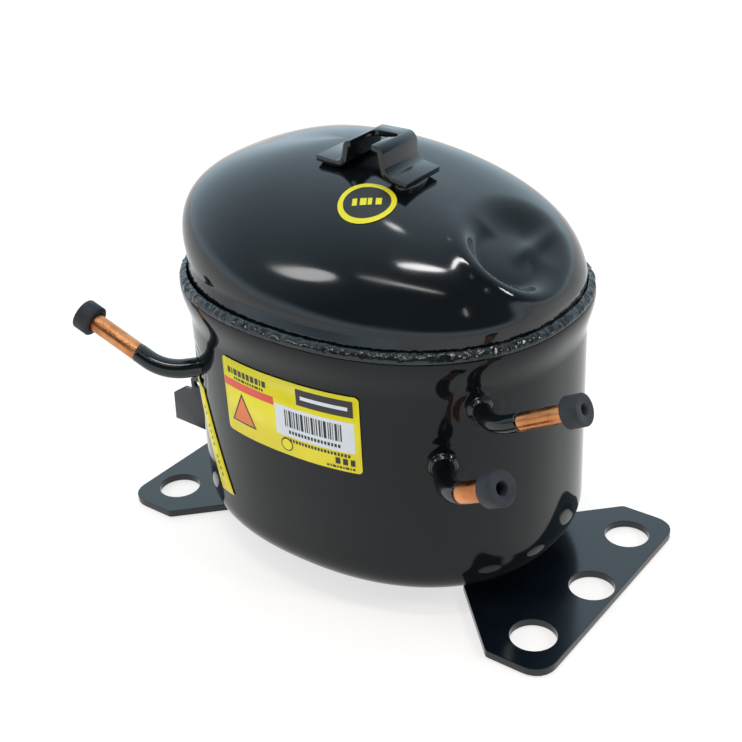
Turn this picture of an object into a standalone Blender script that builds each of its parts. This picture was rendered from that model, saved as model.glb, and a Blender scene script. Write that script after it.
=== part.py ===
"""Hermetic reciprocating compressor: welded oval shell on two feet, with the pump and motor unit inside.

Origin at the middle of the footprint, on the plane the feet stand on. +X runs along the long axis,
away from the electrical terminal. -Y is the side with the labels and the stub tubes. +Z is up.
"""

import math

import bmesh
import bpy
from mathutils import Matrix, Vector

MM = 0.001
GAP = 0.3

# Shell: half-sizes of its ovals and heights, all in millimetres.
OVAL = 2.25
WALL_A, WALL_B = 75.0, 60.0
SHELL_BOTTOM = 9.0
CORNER_H, CORNER_W, CORNER_POWER = 15.0, 22.0, 2.6
WALL_T = 2.8
NECK_Z, LIP_Z, MOUTH_Z = 92.0, 104.3, 106.4
LIP_A, LIP_B = 77.5, 62.3
SHELL_SEGMENTS = 44

# Lid dome: heights above the skirt, and the exponents of its section on each side.
LID_Z, LID_H, LID_SKIRT = 109.0, 44.96, 4.65
LID_A, LID_B = 75.5, 57.0
LID_OVAL = 2.29
LID_DRAFT = 0.14
LID_CROWN = (-15.0, 2.8)
DOME_RISES = (0.0, 7.0, 16.0, 25.0, 33.0, 41.0, 49.0, 57.0, 66.0, 76.0, 85.0)
DISH_CENTRE = (57.0, -1.0, 132.5)
DISH_TILT = math.radians(36.0)
DISH_U, DISH_V, DISH_DEPTH = 20.0, 21.0, 4.5

# Feet: the standard 170 x 70 mm base pattern, with one more hole at mid-width.
FOOT_T = 3.0
HOLE_X, HOLE_Y, HOLE_R = 85.0, 35.0, 8.3
MID_HOLE_X = 88.8
FOOT_INNER_X, FOOT_BEVEL = 49.5, 24.4
HEADER_Z = 39.5

# Pump unit: the crank turns about a vertical axis, the piston slides along +X.
CRANK_X = -12.0
CRANK_R = 7.5
ROD_L = 38.0
PISTON_Z = 107.0
BORE_R = 12.5
MOUNT_X, MOUNT_Y = 33.0, 29.0
STATOR_Z0, STATOR_Z1 = 34.0, 66.0
STATOR_HALF = 46.0
BORE_FACE_X = 45.0
HEAD_SCREWS = ((16.0, 116.0), (-16.0, 116.0), (-16.0, 96.5), (16.0, 96.5))

BLACK = (0.012, 0.012, 0.013)
COPPER = (0.80, 0.42, 0.24)
RUBBER = (0.055, 0.058, 0.064)
YELLOW = (0.86, 0.68, 0.02)
STEEL = (0.45, 0.46, 0.48)
IRON = (0.20, 0.20, 0.21)
ENAMEL = (0.45, 0.16, 0.06)
ALUMINIUM = (0.72, 0.73, 0.75)
PLASTIC = (0.75, 0.73, 0.66)


def clear_scene():
    for obj in list(bpy.data.objects):
        bpy.data.objects.remove(obj, do_unlink=True)


def new_collection(name, hidden=False):
    made = bpy.data.collections.new(name)
    bpy.context.scene.collection.children.link(made)
    made.hide_render = hidden
    return made


def surface(name, colour, roughness, metallic=0.0):
    made = bpy.data.materials.new(name)
    made.use_nodes = True
    shader = made.node_tree.nodes["Principled BSDF"]
    shader.inputs["Base Color"].default_value = (*colour, 1.0)
    shader.inputs["Roughness"].default_value = roughness
    shader.inputs["Metallic"].default_value = metallic
    made.diffuse_color = (*colour, 1.0)
    return made


def add(name, data, look, smooth=True):
    obj = bpy.data.objects.new(name, data)
    PARTS.objects.link(obj)
    obj.data.materials.append(look)
    if smooth and obj.type == "MESH":
        for face in obj.data.polygons:
            face.use_smooth = True
    return obj


def closed_mesh(name, points, faces):
    data = bpy.data.meshes.new(name)
    data.from_pydata([Vector(p) * MM for p in points], [], faces)
    work = bmesh.new()
    work.from_mesh(data)
    bmesh.ops.recalc_face_normals(work, faces=work.faces)
    work.to_mesh(data)
    work.free()
    return data


def loft(name, rings):
    """A closed body through rings of equally many points, with a flat cap on the first and the last."""
    count = len(rings[0])
    points = [p for ring in rings for p in ring]
    faces = [tuple(range(count - 1, -1, -1))]
    for level in range(len(rings) - 1):
        low, high = level * count, (level + 1) * count
        for i in range(count):
            j = (i + 1) % count
            faces.append((low + i, low + j, high + j, high + i))
    last = (len(rings) - 1) * count
    faces.append(tuple(range(last, last + count)))
    return closed_mesh(name, points, faces)


def belt(name, rings):
    """A closed ring-shaped body: the last ring joins back to the first."""
    count = len(rings[0])
    points = [p for ring in rings for p in ring]
    faces = []
    for level in range(len(rings)):
        low, high = level * count, ((level + 1) % len(rings)) * count
        for i in range(count):
            j = (i + 1) % count
            faces.append((low + i, low + j, high + j, high + i))
    return closed_mesh(name, points, faces)


def turned_rings(at, profile, axis=(0, 0, 1), steps=24):
    """The rings of a profile of (radius, height) turned about the axis through at."""
    along = Vector(axis).normalized()
    side = along.orthogonal().normalized()
    other = along.cross(side)
    rings = []
    for radius, height in profile:
        centre = Vector(at) + along * height
        ring = []
        for i in range(steps):
            angle = 2 * math.pi * i / steps
            ring.append(centre + (side * math.cos(angle) + other * math.sin(angle)) * radius)
        rings.append(ring)
    return rings


def turned(name, at, profile, look, axis=(0, 0, 1), steps=24):
    return add(name, loft(name, turned_rings(at, profile, axis, steps)), look)


def turned_belt(name, at, profile, look, steps=32):
    """A turned ring whose closed profile never touches the axis."""
    return add(name, belt(name, turned_rings(at, profile, steps=steps)), look)


def cutter(name, data):
    obj = bpy.data.objects.new(name, data)
    TOOLS.objects.link(obj)
    obj.hide_render = True
    obj.display_type = "WIRE"
    return obj


def rod_cutter(name, start, end, radius, steps=24):
    start, end = Vector(start), Vector(end)
    rings = turned_rings(start, [(radius, 0.0), (radius, (end - start).length)], end - start, steps)
    return cutter(name, loft(name, rings))


def block_data(name, low, high):
    work = bmesh.new()
    bmesh.ops.create_cube(work, size=1.0)
    size = [(b - a) * MM for a, b in zip(low, high)]
    centre = [(a + b) / 2 * MM for a, b in zip(low, high)]
    place = Matrix.Translation(centre) @ Matrix.Diagonal((*size, 1.0))
    bmesh.ops.transform(work, matrix=place, verts=work.verts)
    data = bpy.data.meshes.new(name)
    work.to_mesh(data)
    work.free()
    return data


def block(name, low, high, look):
    return add(name, block_data(name, low, high), look, smooth=False)


def prism_data(name, outline, low, high, axis="Z"):
    """A flat outline in the two other axes (in X, Y, Z order), drawn out from low to high along axis."""
    place = {
        "X": lambda p, h: (h, p[0], p[1]),
        "Y": lambda p, h: (p[0], h, p[1]),
        "Z": lambda p, h: (p[0], p[1], h),
    }[axis]
    return loft(name, [[place(p, low) for p in outline], [place(p, high) for p in outline]])


def boolean(target, tool, operation="DIFFERENCE"):
    step = target.modifiers.new(tool.name, "BOOLEAN")
    step.operation = operation
    step.solver = "EXACT"
    step.object = tool


def bevel(obj, width, segments=1):
    step = obj.modifiers.new("Edges", "BEVEL")
    step.width = width * MM
    step.segments = segments
    step.limit_method = "ANGLE"


def power(value, exponent):
    return math.copysign(abs(value) ** exponent, value)


def oval(half_a, half_b, exponent, height, count=SHELL_SEGMENTS, centre=(0.0, 0.0)):
    ring = []
    for i in range(count):
        angle = 2 * math.pi * i / count
        ring.append((
            centre[0] + half_a * power(math.cos(angle), 2 / exponent),
            centre[1] + half_b * power(math.sin(angle), 2 / exponent),
            height,
        ))
    return ring


def oval_y(half_a, half_b, x):
    """Half-width of the shell's oval at x."""
    return half_b * max(0.0, 1 - (abs(x) / half_a) ** OVAL) ** (1 / OVAL)


def oval_x(half_a, half_b, y):
    return half_a * max(0.0, 1 - (abs(y) / half_b) ** OVAL) ** (1 / OVAL)


def wire(name, points, radius, look, resolution=2):
    data = bpy.data.curves.new(name, "CURVE")
    data.dimensions = "3D"
    data.bevel_depth = radius * MM
    data.bevel_resolution = resolution
    data.use_fill_caps = True
    line = data.splines.new("POLY")
    line.points.add(len(points) - 1)
    for place, point in zip(line.points, points):
        place.co = (*(Vector(point) * MM), 1.0)
    obj = add(name, data, look)
    solid = bpy.data.meshes.new_from_object(obj)
    bpy.data.objects.remove(obj)
    work = bmesh.new()
    work.from_mesh(solid)
    bmesh.ops.remove_doubles(work, verts=work.verts, dist=1e-6)
    bmesh.ops.recalc_face_normals(work, faces=work.faces)
    work.to_mesh(solid)
    work.free()
    solid.materials.clear()
    return add(name, solid, look)


def bent(points, radius, steps=5):
    """A polyline with its inner corners rounded to the given radius."""
    points = [Vector(p) for p in points]
    path = [points[0]]
    for before, corner, after in zip(points, points[1:], points[2:]):
        back, on = (before - corner).normalized(), (after - corner).normalized()
        half = back.angle(on) / 2
        reach = radius / math.tan(half)
        start, end = corner + back * reach, corner + on * reach
        for i in range(steps + 1):
            t = i / steps
            path.append(start * (1 - t) ** 2 + corner * 2 * t * (1 - t) + end * t * t)
    path.append(points[-1])
    return path


STRIP_ROWS = [(-41.0 - 1.6 * i, -32.5 - 1.7 * i, 30.0 + 4.0 * i) for i in range(10)]

clear_scene()
PARTS = new_collection("hermetic_compressor")
TOOLS = new_collection("cutters", hidden=True)

PAINT = surface("black_paint", BLACK, 0.12)
FOOT_PAINT = surface("foot_paint", BLACK, 0.18)
WELD = surface("weld_bead", (0.16, 0.165, 0.17), 0.35, 0.6)
TUBE = surface("copper_tube", COPPER, 0.3, 1.0)
PLUG = surface("plug_rubber", RUBBER, 0.7)
LABEL = surface("label_yellow", YELLOW, 0.4)
BRIGHT = surface("bright_steel", STEEL, 0.3, 1.0)
CAST = surface("cast_iron", IRON, 0.55, 0.7)
LAMINATION = surface("lamination_steel", (0.30, 0.31, 0.33), 0.45, 0.9)
WINDING = surface("enamelled_wire", ENAMEL, 0.4, 0.3)
CAST_ALUMINIUM = surface("cast_aluminium", ALUMINIUM, 0.4, 1.0)
GASKET = surface("gasket_sheet", (0.10, 0.16, 0.14), 0.8)
MOULDED = surface("moulded_plastic", PLASTIC, 0.5)

# Stub tubes: where each leaves the wall, its elbow, its open end, its radius and its plug's radius.
STUBS = {
    "discharge": ((-50.5, -44.5, 74.5), (-60.0, -56.3, 75.0), (-93.6, -60.0, 90.0), 3.5, 6.0),
    "process": ((64.2, -35.0, 87.0), (73.2, -42.2, 87.0), (101.6, -40.0, 100.9), 3.0, 5.2),
    "suction": ((55.2, -44.0, 66.5), (65.0, -56.4, 66.5), (85.6, -59.9, 78.2), 3.7, 5.8),
}


def corner(thick, steps):
    """The rounded bottom corner as (inset from the wall, height) pairs, from the floor up."""
    pairs = []
    for step in range(steps + 1):
        rise = 1 - math.cos(math.pi / 2 * step / steps)
        share = 1 - (1 - (1 - rise) ** CORNER_POWER) ** (1 / CORNER_POWER)
        inset = thick + (CORNER_W - thick) * share
        pairs.append((inset, SHELL_BOTTOM + thick + (CORNER_H - thick) * rise))
    return pairs


def lower_shell():
    rings = []
    for inset, height in corner(0.0, 7):
        rings.append(oval(WALL_A - inset, WALL_B - inset, OVAL, height))
    rings.append(oval(WALL_A, WALL_B, OVAL, NECK_Z))
    for share in (0.35, 0.7, 0.9, 1.0):
        swell = share * share * (3 - 2 * share)
        half_a = WALL_A + (LIP_A - WALL_A) * swell
        half_b = WALL_B + (LIP_B - WALL_B) * swell
        rings.append(oval(half_a, half_b, OVAL, NECK_Z + (LIP_Z - NECK_Z) * share))
    rings.append(oval(LIP_A, LIP_B, OVAL, MOUTH_Z))
    rings.append(oval(LIP_A - 2.6, LIP_B - 2.6, OVAL, MOUTH_Z))
    rings.append(oval(LIP_A - 2.6, LIP_B - 2.6, OVAL, 100.0))
    rings.append(oval(WALL_A - WALL_T, WALL_B - WALL_T, OVAL, 98.0))
    for inset, height in reversed(corner(WALL_T, 5)):
        rings.append(oval(WALL_A - inset, WALL_B - inset, OVAL, height))
    shell = add("lower_shell", loft("lower_shell", rings), PAINT)
    for name, (root, elbow, _, radius, _) in STUBS.items():
        root, elbow = Vector(root), Vector(elbow)
        along = (elbow - root).normalized()
        boolean(shell, rod_cutter("hole_" + name, root - along * 12, root + along * 8, radius + GAP, 16))
    boolean(shell, rod_cutter("hole_header", (-90, 0, HEADER_Z), (-60, 0, HEADER_Z), 13.3, 32))


def lid_point(angle, rise, inset, lower):
    """A point of the dome: angle goes round it, rise from 0 at the skirt's top to pi/2 at the crown."""
    c, s = math.cos(angle), math.sin(angle)
    ahead, across = c * c, s * s
    wide = ahead * 1.4 + across * 2.37
    tall = ahead * (2.82 if c > 0 else 2.95) + across * 1.49
    out = math.cos(rise) ** (2 / wide)
    up = math.sin(rise) ** (2 / tall)
    half_a = LID_A - LID_DRAFT * LID_SKIRT - inset
    half_b = LID_B - LID_DRAFT * LID_SKIRT - inset
    x = half_a * out * power(c, 2 / LID_OVAL) + LID_CROWN[0] * up
    y = half_b * out * power(s, 2 / LID_OVAL) + LID_CROWN[1] * up
    z = LID_Z + LID_SKIRT + (LID_H - LID_SKIRT - lower) * up
    return dished(x, y, z)


def dished(x, y, z):
    """The stamped dish in the dome's +X shoulder."""
    normal = Vector((math.sin(DISH_TILT), 0.0, math.cos(DISH_TILT)))
    slope = Vector((math.cos(DISH_TILT), 0.0, -math.sin(DISH_TILT)))
    offset = Vector((x, y, z)) - Vector(DISH_CENTRE)
    away = math.hypot(offset.dot(slope) / DISH_U, offset.y / DISH_V)
    if away >= 1.0:
        return (x, y, z)
    share = min(1.0, (1.0 - away) / 0.45)
    sunk = DISH_DEPTH * share * share * (3 - 2 * share)
    return tuple(Vector((x, y, z)) - normal * sunk)


def lid_angles():
    """Directions round the dome, closer together over the dish."""
    angles = [math.radians(a) for a in range(-42, 43, 6)]
    angles += [math.radians(42 + 276 * i / 33) for i in range(1, 33)]
    return angles


def upper_shell():
    """The domed lid, one wall thick, its skirt standing inside the mouth of the lower shell."""
    angles = lid_angles()

    def skirt(half_a, half_b, height):
        return [
            (half_a * power(math.cos(angle), 2 / 2.27), half_b * power(math.sin(angle), 2 / 2.27), height)
            for angle in angles
        ]

    rings = []
    for rise in (85.0, 68.0, 52.0, 36.0, 20.0, 6.0):
        rings.append([lid_point(angle, math.radians(rise), WALL_T, WALL_T) for angle in angles])
    rings.append(skirt(73.9 - WALL_T, 58.9 - WALL_T, 101.5))
    rings.append(skirt(73.9, 58.9, 101.5))
    rings.append(skirt(74.6, 58.2, LID_Z))
    for rise in DOME_RISES:
        rings.append([lid_point(angle, math.radians(rise), 0.0, 0.0) for angle in angles])
    add("upper_shell", loft("upper_shell", rings), PAINT)


def dome_tool(name, lift):
    """A closed dome whose surface stands off the lid's by lift."""
    angles = lid_angles()
    rings = []
    for rise in DOME_RISES:
        rings.append([lid_point(angle, math.radians(rise), -lift, -lift) for angle in angles])
    return cutter(name, loft(name, rings))


def weld_bead():
    rings = []
    for out, height in ((77.3, 106.7), (77.1, 107.8), (76.2, 108.9), (75.2, 109.3), (75.0, 106.7)):
        rings.append(oval(out, out - 15.2, OVAL, height))
    add("weld_bead", belt("weld_bead", rings), WELD)


def foot(name, side):
    """One foot: a flat plate with three holes that runs under the shell and steps up to its bottom."""
    outline = [
        (98.5, 43.0), (97.6, 46.3), (95.4, 48.9), (92.0, 50.6), (88.5, 51.0), (75.8, 51.0), (74.6, 50.4),
        (FOOT_INNER_X, FOOT_INNER_X - FOOT_BEVEL),
    ]
    outline += [(x, -y) for x, y in reversed(outline)]
    outline = [(side * x, y) for x, y in outline]
    plate = add(name, prism_data(name, outline, 0.0, FOOT_T), FOOT_PAINT, smooth=False)
    top = SHELL_BOTTOM - GAP
    step = [
        (side * 52.0, 0.0), (side * 52.0, FOOT_T), (side * 49.5, FOOT_T), (side * 44.0, top),
        (side * 30.0, top), (side * 30.0, top - FOOT_T), (side * 43.0, top - FOOT_T), (side * 48.0, 0.0),
    ]
    boolean(plate, cutter(f"{name}_step", prism_data("step", step, -20.0, 20.0, "Y")), "UNION")
    for x, y in ((HOLE_X, HOLE_Y), (HOLE_X, -HOLE_Y), (MID_HOLE_X, 0.0)):
        boolean(plate, rod_cutter(f"{name}_hole_{y:.0f}", (side * x, y, -5), (side * x, y, 10), HOLE_R, 32))


def lid_bracket():
    """Hat-section bracket on the crown, with a slot cut back from its front edge."""
    upper = [
        (-11.6, 155.0), (-2.6, 154.2), (-0.6, 155.6), (0.2, 160.8), (1.8, 162.3),
        (14.2, 162.3), (16.2, 160.6), (16.9, 156.6), (18.6, 153.6), (20.6, 152.2), (25.6, 151.3),
    ]
    lower = [
        (25.6, 149.3), (19.8, 150.2), (17.0, 151.8), (14.9, 155.8), (14.6, 158.6), (13.4, 160.2),
        (3.4, 160.2), (2.3, 159.4), (1.4, 154.6), (-1.4, 152.2), (-11.6, 153.0),
    ]
    hat = prism_data("lid_bracket", upper + lower, -18.3, 1.0, "Y")
    bracket = add("lid_bracket", hat, PAINT, smooth=False)
    slot = block_data("bracket_slot", (3.2, -25.0, 158.6), (12.0, -4.8, 170.0))
    boolean(bracket, cutter("bracket_slot", slot))
    boolean(bracket, dome_tool("bracket_seat", 0.3))


def stub_tube(name, root, elbow, end, radius, plug_radius):
    root, elbow, end = Vector(root), Vector(elbow), Vector(end)
    inward = (root - elbow).normalized()
    axis = (end - elbow).normalized()
    tube = wire(f"{name}_tube", bent([root + inward * 7.0, elbow, end], 5.2 * radius, 7), radius, TUBE)
    boolean(tube, rod_cutter(f"{name}_bore", end - axis * 14.0, end + axis * 5.0, radius - 0.9, 12))
    cap = [
        (radius + 0.3, 0.4), (radius + 0.3, -3.4), (plug_radius - 0.5, -3.4), (plug_radius, -2.9),
        (plug_radius, 2.3), (plug_radius - 0.5, 2.8), (2.2, 2.8), (2.2, 0.9),
    ]
    turned(f"{name}_plug", end, cap, PLUG, axis, 16)


def terminal_fence():
    """Bracket on the -X end: a web round the terminal header, with two cheeks for the relay cover."""
    inner, outer = [], []
    for i in range(11):
        y = -25.0 + 5.0 * i
        inner.append((-oval_x(WALL_A + GAP, WALL_B + GAP, y), y))
        outer.append((-oval_x(WALL_A + GAP, WALL_B + GAP, y) - 1.6, y))
    web = prism_data("terminal_fence", inner + outer[::-1], 38.4, 57.5)
    fence = add("terminal_fence", web, PAINT, smooth=False)
    cheek = [
        (-92.5, 28.5), (-91.8, 41.0), (-85.4, 45.3), (-80.8, 45.6), (-80.8, 50.6), (-78.6, 52.6),
        (-71.6, 52.6), (-71.6, 34.6), (-75.4, 34.6), (-76.0, 28.0),
    ]
    for y in (-25.0, 23.4):
        boolean(fence, cutter(f"cheek_{y:.0f}", prism_data("cheek", cheek, y, y + 1.6, "Y")), "UNION")
    boolean(fence, rod_cutter("ear_holes", (-77.6, -30, 48.8), (-77.6, 30, 48.8), 1.5, 12))
    boolean(fence, rod_cutter("header_window", (-90, 0, HEADER_Z), (-65, 0, HEADER_Z), 14.0, 32))


def terminal_header():
    cup = [
        (0.5, -71.6), (11.0, -71.6), (13.0, -71.6), (13.0, -77.4), (11.6, -77.4), (11.6, -73.6), (0.5, -73.6),
    ]
    header = turned("terminal_header", (0, 0, HEADER_Z), cup, BRIGHT, (1, 0, 0))
    for i in range(3):
        angle = math.radians(90 + 120 * i)
        y, z = 5.2 * math.sin(angle - math.pi / 2), HEADER_Z + 5.2 * math.cos(angle - math.pi / 2)
        boolean(header, rod_cutter(f"pin_hole_{i}", (-90, y, z), (-60, y, z), 1.6, 10))
        profile = [(0.8, -90.0), (1.15, -89.0), (1.15, -67.6)]
        turned(f"terminal_pin_{i + 1}", (0, y, z), profile, BRIGHT, (1, 0, 0), 10)


def wall_patch(name, rows, look):
    """A thin label that follows the shell's front wall; rows give (x at left, x at right, height)."""
    rings = []
    for low_x, high_x, height in rows:
        ring = []
        for offset, ordered in ((0.35, 1), (0.65, -1)):
            edge = []
            for i in range(11):
                x = low_x + (high_x - low_x) * i / 10
                edge.append((x, -oval_y(WALL_A + offset, WALL_B + offset, x), height))
            ring += edge[::ordered]
        rings.append(ring)
    add(name, loft(name, rings), look, smooth=False)


def lid_sticker():
    """An oval label pressed on the dome."""
    turn = math.radians(30.0)
    outline = []
    for i in range(24):
        angle = 2 * math.pi * i / 24
        u, v = 9.8 * math.cos(angle), 8.2 * math.sin(angle)
        outline.append((
            15.3 + u * math.cos(turn) - v * math.sin(turn),
            -26.3 + u * math.sin(turn) + v * math.cos(turn),
        ))
    sticker = add("lid_sticker", prism_data("lid_sticker", outline, 130.0, 165.0), LABEL, smooth=False)
    boolean(sticker, dome_tool("sticker_face", 0.7), "INTERSECT")
    boolean(sticker, dome_tool("sticker_back", 0.35))


def rounded(half_x, half_y, radius, centre=(0.0, 0.0), steps=5):
    outline = []
    for quarter, (sx, sy) in enumerate(((1, 1), (-1, 1), (-1, -1), (1, -1))):
        for i in range(steps + 1):
            angle = math.radians(90 * quarter + 90 * i / steps)
            outline.append((
                centre[0] + sx * (half_x - radius) + radius * math.cos(angle),
                centre[1] + sy * (half_y - radius) + radius * math.sin(angle),
            ))
    return outline


def mounts_at():
    for i, (sx, sy) in enumerate(((1, 1), (-1, 1), (-1, -1), (1, -1))):
        yield i + 1, CRANK_X + sx * MOUNT_X, sy * MOUNT_Y


def motor():
    axis = (CRANK_X, 0.0, 0.0)
    outline = rounded(STATOR_HALF, STATOR_HALF, 18.0, (CRANK_X, 0.0))
    stack = prism_data("stator_core", outline, STATOR_Z0, STATOR_Z1)
    core = add("stator_core", stack, LAMINATION, smooth=False)
    boolean(core, rod_cutter("stator_bore", (CRANK_X, 0, 20), (CRANK_X, 0, 80), 26.7, 32))
    for i, x, y in mounts_at():
        boolean(core, rod_cutter(f"stator_hole_{i}", (x, y, 20), (x, y, 80), 2.9, 10))
    for name, low, high, out in (("winding_lower", 21.0, 33.7, 35.6), ("winding_upper", 66.3, 77.2, 36.6)):
        profile = [
            (27.6, low + 3.0), (30.0, low), (out - 3.0, low), (out, low + 3.0),
            (out, high - 3.0), (out - 3.0, high), (30.0, high), (27.6, high - 3.0),
        ]
        turned_belt(name, axis, profile, WINDING, 24)
    profile = [(26.2, STATOR_Z0), (26.2, STATOR_Z1), (8.35, STATOR_Z1), (8.35, STATOR_Z0)]
    turned_belt("rotor_core", axis, profile, LAMINATION, 28)
    for name, low, high in (("rotor_ring_lower", 28.5, 33.7), ("rotor_ring_upper", 66.3, 69.6)):
        profile = [(25.4, low), (25.4, high), (15.5, high), (15.5, low)]
        turned_belt(name, axis, profile, CAST_ALUMINIUM, 24)


def crank():
    profile = [
        (7.0, 24.0), (8.0, 25.0), (8.0, 60.0), (7.6, 61.0), (7.6, 80.0), (8.0, 81.0), (8.0, 93.4),
        (14.4, 93.4), (14.4, 98.3),
    ]
    shaft = turned("crankshaft", (CRANK_X, 0, 0), profile, CAST)
    pin = turned_rings((CRANK_X + CRANK_R, 0, 97.0), [(6.0, 0.0), (6.0, 4.2), (5.5, 4.7)], steps=20)
    boolean(shaft, cutter("crank_pin", loft("pin", pin)), "UNION")
    fan = [(CRANK_X, -5.0)]
    for i in range(9):
        angle = math.radians(-118 - 124 * i / 8)
        fan.append((CRANK_X + 23.0 * math.cos(angle), 23.0 * math.sin(angle)))
    fan.append((CRANK_X, 5.0))
    boolean(shaft, cutter("balance", prism_data("balance", fan, 93.9, 97.8)), "UNION")
    boolean(shaft, rod_cutter("oil_gallery", (CRANK_X, 0, 10), (CRANK_X, 0, 52), 4.6, 16))
    profile = [(1.6, 14.4), (3.0, 16.0), (5.6, 20.6), (5.6, 23.6), (4.2, 23.7), (4.2, 40.0)]
    turned("oil_pickup", (CRANK_X, 0, 0), profile, BRIGHT, steps=16)


def cylinder_block():
    outline = rounded(42.0, 36.0, 12.0, (CRANK_X, 0.0), 3)
    body = add("cylinder_block", prism_data("cylinder_block", outline, 78.0, 84.0), CAST, smooth=False)
    hub = turned_rings((CRANK_X, 0, 0), [(13.5, 70.3), (14.5, 71.3), (14.5, 93.0)])
    boolean(body, cutter("hub", loft("hub", hub)), "UNION")
    barrel = [
        (-20.0, 80.0), (20.0, 80.0), (20.0, 119.0), (17.0, 122.0), (-17.0, 122.0), (-20.0, 119.0),
    ]
    boolean(body, cutter("barrel", prism_data("barrel", barrel, 14.0, BORE_FACE_X, "X")), "UNION")
    for i, x, y in mounts_at():
        leg = turned_rings((x, y, 0), [(5.6, 66.3), (5.6, 80.0)], steps=12)
        boolean(body, cutter(f"leg_{i}", loft("leg", leg)), "UNION")
        boolean(body, rod_cutter(f"leg_hole_{i}", (x, y, 60), (x, y, 81), 2.9, 10))
    boolean(body, rod_cutter("bearing", (CRANK_X, 0, 60), (CRANK_X, 0, 100), 8.3))
    boolean(body, rod_cutter("cylinder_bore", (5, 0, PISTON_Z), (60, 0, PISTON_Z), BORE_R, 32))
    for i, (y, z) in enumerate(HEAD_SCREWS):
        boolean(body, rod_cutter(f"block_screw_{i}", (34.5, y, z), (60, y, z), 2.3, 10))


def with_screw_holes(obj, low, high):
    for i, (y, z) in enumerate(HEAD_SCREWS):
        boolean(obj, rod_cutter(f"{obj.name}_screw_{i}", (low, y, z), (high, y, z), 2.3, 10))


def head_stack():
    square = [(-19.5, 93.0), (19.5, 93.0), (19.5, 121.0), (-19.5, 121.0)]
    gasket = add("head_gasket", prism_data("head_gasket", square, 45.3, 45.8, "X"), GASKET, smooth=False)
    boolean(gasket, rod_cutter("gasket_bore", (40, 0, PISTON_Z), (50, 0, PISTON_Z), 13.0, 24))
    with_screw_holes(gasket, 40, 50)
    plate = add("valve_plate", prism_data("valve_plate", square, 46.9, 49.3, "X"), BRIGHT, smooth=False)
    boolean(plate, rod_cutter("suction_port", (44, 0, 112.5), (52, 0, 112.5), 3.0, 14))
    boolean(plate, rod_cutter("discharge_port", (44, 0, 101.5), (52, 0, 101.5), 2.5, 14))
    with_screw_holes(plate, 44, 52)
    cover = prism_data("cylinder_head", square, 50.7, 61.5, "X")
    head = add("cylinder_head", cover, CAST_ALUMINIUM, smooth=False)
    cavity = block_data("head_cavity", (48.0, -11.5, 96.8), (58.0, 11.5, 117.2))
    boolean(head, cutter("head_cavity", cavity))
    with_screw_holes(head, 45, 65)
    reed = [(-3.2, 96.0), (3.2, 96.0), (3.6, 112.0), (2.6, 116.0), (-2.6, 116.0), (-3.6, 112.0)]
    add("suction_reed", prism_data("suction_reed", reed, 46.15, 46.55, "X"), BRIGHT, smooth=False)
    reed = [(-3.2, 115.5), (3.2, 115.5), (3.4, 101.5), (2.4, 98.0), (-2.4, 98.0), (-3.4, 101.5)]
    add("discharge_reed", prism_data("discharge_reed", reed, 49.65, 50.05, "X"), BRIGHT, smooth=False)
    for i, (y, z) in enumerate(HEAD_SCREWS):
        profile = [(2.0, 36.0), (2.0, 61.8), (3.8, 61.8), (3.8, 64.4), (3.2, 65.0)]
        turned(f"head_screw_{i + 1}", (0, y, z), profile, BRIGHT, (1, 0, 0), 10)


def piston_and_rod():
    front = CRANK_X + CRANK_R + ROD_L + 11.0
    back = front - 19.5
    wrist = CRANK_X + CRANK_R + ROD_L
    profile = [
        (11.6, back), (12.2, back + 0.6), (12.2, front - 0.5), (11.7, front),
    ]
    piston = turned("piston", (0, 0, PISTON_Z), profile, CAST, (1, 0, 0))
    pocket = [(back - 3.0, 101.6), (wrist + 5.6, 101.6), (wrist + 5.6, 112.4), (back - 3.0, 112.4)]
    boolean(piston, cutter("piston_pocket", prism_data("piston_pocket", pocket, -8.2, 8.2, "Y")))
    boolean(piston, rod_cutter("wrist_hole", (wrist, 0, 90), (wrist, 0, 125), 3.3, 16))
    turned("wrist_pin", (wrist, 0, 0), [(3.0, 97.2), (3.0, 116.8)], BRIGHT, steps=16)
    big = CRANK_X + CRANK_R
    outline = []
    for i in range(13):
        angle = math.radians(35 + 290 * i / 12)
        outline.append((big + 9.0 * math.cos(angle), 9.0 * math.sin(angle)))
    for i in range(9):
        angle = math.radians(-128 + 256 * i / 8)
        outline.append((wrist + 5.2 * math.cos(angle), 5.2 * math.sin(angle)))
    bar = prism_data("connecting_rod", outline, 102.0, 112.0)
    rod = add("connecting_rod", bar, CAST_ALUMINIUM, smooth=False)
    boolean(rod, rod_cutter("big_end", (big, 0, 95), (big, 0, 120), 6.3, 20))
    boolean(rod, rod_cutter("small_end", (wrist, 0, 95), (wrist, 0, 120), 3.3, 16))


def suspension():
    for i, x, y in mounts_at():
        foot_z = 12.2 if x > 0 else 12.9
        profile = [(2.4, foot_z), (4.0, foot_z + 1.0), (4.0, 19.0), (2.8, 20.4)]
        turned(f"spring_stud_{i}", (x, y, 0), profile, BRIGHT, steps=12)
        profile = [(3.0, 23.0), (4.0, 24.4), (4.0, 31.0), (8.0, 31.0), (8.0, 33.7), (2.5, 33.7), (2.5, 79.0)]
        turned(f"stator_bolt_{i}", (x, y, 0), profile, BRIGHT, steps=12)
        turns, per_turn = 3.0, 8
        coil = []
        for k in range(int(turns * per_turn) + 1):
            angle = 2 * math.pi * k / per_turn
            share = k / (turns * per_turn)
            coil.append((x + 6.4 * math.cos(angle), y + 6.4 * math.sin(angle), 14.8 + 14.9 * share))
        wire(f"suspension_spring_{i}", coil, 0.9, BRIGHT, 1)


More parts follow.
